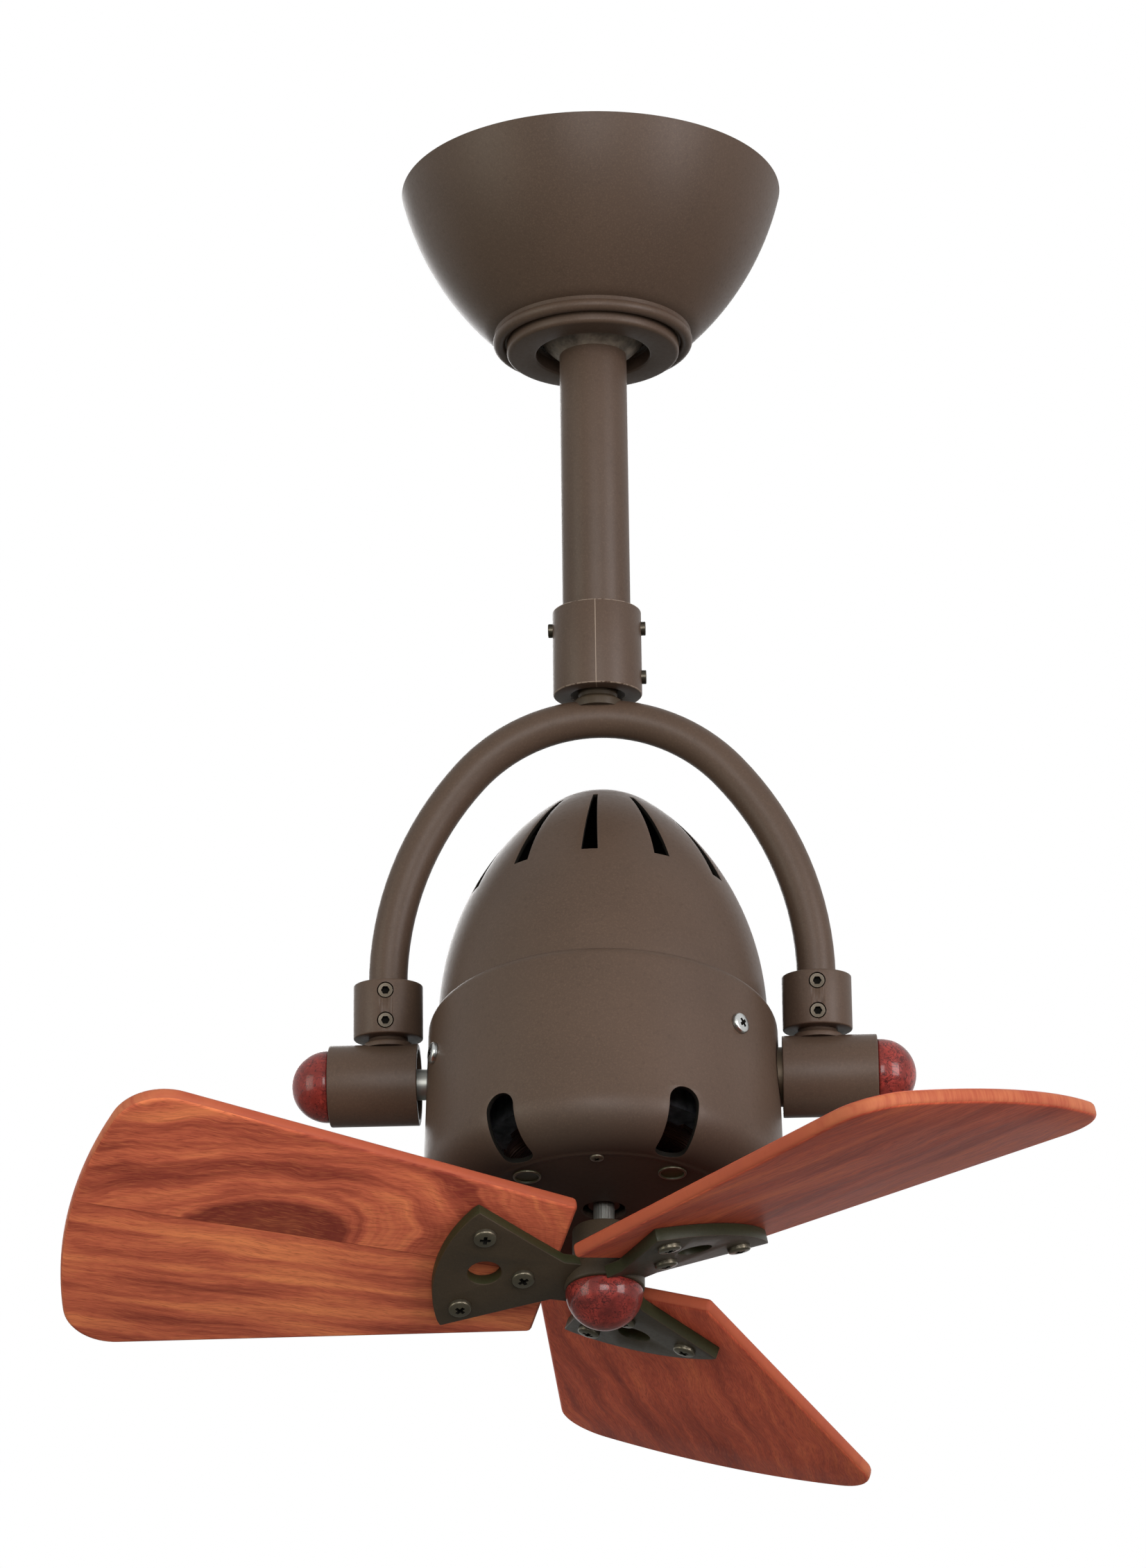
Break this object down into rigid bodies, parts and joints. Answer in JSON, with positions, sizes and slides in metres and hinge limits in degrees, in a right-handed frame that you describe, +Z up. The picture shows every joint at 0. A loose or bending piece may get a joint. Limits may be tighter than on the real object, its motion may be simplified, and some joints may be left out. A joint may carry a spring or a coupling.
{
  "type": "oscillating ceiling fan",
  "caption": "Small oscillating ceiling fan: bowl canopy and downrod, arched swivel yoke, tilting egg-shaped motor head and flared wooden blades on a cast bracket.",
  "frame": {"origin": "centre of the outlet-box screw pattern, in the ceiling plane on the mounting bracket's top face", "axes": "+Z up into the ceiling; X along the trunnions and the bracket's plate; the head's underside tilts towards -Y at rest"},
  "size_m": [0.3813, 0.3708, 0.5053],
  "materials": {
    "bronze_coat": "fine-textured satin powder coat, dark bronze",
    "zinc_plate": "bright plated steel",
    "black_steel": "blackened steel",
    "cast_grey": "mottled grey-brown cast metal",
    "brass": "turned bearing brass",
    "copper_wire": "varnished copper wire",
    "motor_iron": "bare motor iron",
    "blade_wood": "satin lacquered reddish wood",
    "burl_wood": "glossy lacquered dark red burl",
    "black_plastic": "matte black",
    "pale_plastic": "pale moulded plastic"
  },
  "bodies": {
    "mount": {"ceiling_bracket": "zinc_plate", "terminal_block": "pale_plastic", "canopy": "bronze_coat", "canopy_screws": "black_steel", "trim_ring": "bronze_coat"},
    "rod": {"hanger_ball": "cast_grey", "cross_pin": "zinc_plate", "ball_screw": "black_steel", "downrod": "bronze_coat", "rod_lead": "black_plastic", "coupling_collar": "bronze_coat", "coupling_screws": "black_steel", "thrust_washer": "pale_plastic"},
    "yoke": {"swivel_stem": "bronze_coat", "yoke_arch": "bronze_coat", "arch_lead": "black_plastic", "arch_collar_left": "bronze_coat", "arch_collar_right": "bronze_coat", "collar_screws": "black_steel", "trunnion_tube_left": "bronze_coat", "trunnion_tube_right": "bronze_coat", "trunnion_shaft": "zinc_plate", "shaft_clip": "black_steel", "drive_bush": "brass", "oscillation_motor": "zinc_plate", "finial_left": "burl_wood", "finial_right": "burl_wood"},
    "pinion": {"drive_pinion": "black_steel"},
    "head": {"motor_dome": "bronze_coat", "motor_cup": "bronze_coat", "housing_screws": "zinc_plate", "trunnion_bush": "brass", "drive_hub": "brass", "motor_frame": "motor_iron", "stator_core": "motor_iron", "stator_windings": "copper_wire", "bearing_plate": "motor_iron", "upper_bearing": "zinc_plate", "lower_bearing": "zinc_plate", "run_capacitor": "black_plastic", "bottom_plugs": "black_steel", "bottom_screw": "black_steel"},
    "rotor": {"rotor_core": "motor_iron", "motor_shaft": "zinc_plate", "bearing_races": "zinc_plate", "hub_collar": "bronze_coat", "hub_set_screw": "black_steel", "blade_bracket": "bronze_coat", "blade_1": "blade_wood", "blade_2": "blade_wood", "blade_3": "blade_wood", "blade_screws": "black_steel", "hub_cap": "burl_wood"}
  },
  "joints": [
    {"name": "rod_swing", "type": "hinge", "parent": "mount", "child": "rod", "pos_m": [0, 0, -0.048], "axis": [1, 0, 0], "range_deg": [-15, 15]},
    {"name": "yoke_swivel", "type": "hinge", "parent": "rod", "child": "yoke", "pos_m": [0, 0, -0.202], "axis": [0, 0, 1], "range_deg": [-170, 170]},
    {"name": "head_oscillation", "type": "hinge", "parent": "yoke", "child": "head", "pos_m": [0, 0, -0.366], "axis": [1, 0, 0], "range_deg": [-31, 59]},
    {"name": "pinion_spin", "type": "hinge", "parent": "yoke", "child": "pinion", "pos_m": [0.076, 0, -0.372], "axis": [1, 0, 0], "range_deg": [-96, 180]},
    {"name": "rotor_spin", "type": "hinge", "parent": "head", "child": "rotor", "pos_m": [0, 0, -0.366], "axis": [0, 0.2419, 0.9703], "continuous": true}
  ],
  "couplings": [
    {"joint": "pinion_spin", "follows": "head_oscillation", "ratio": 3}
  ]
}
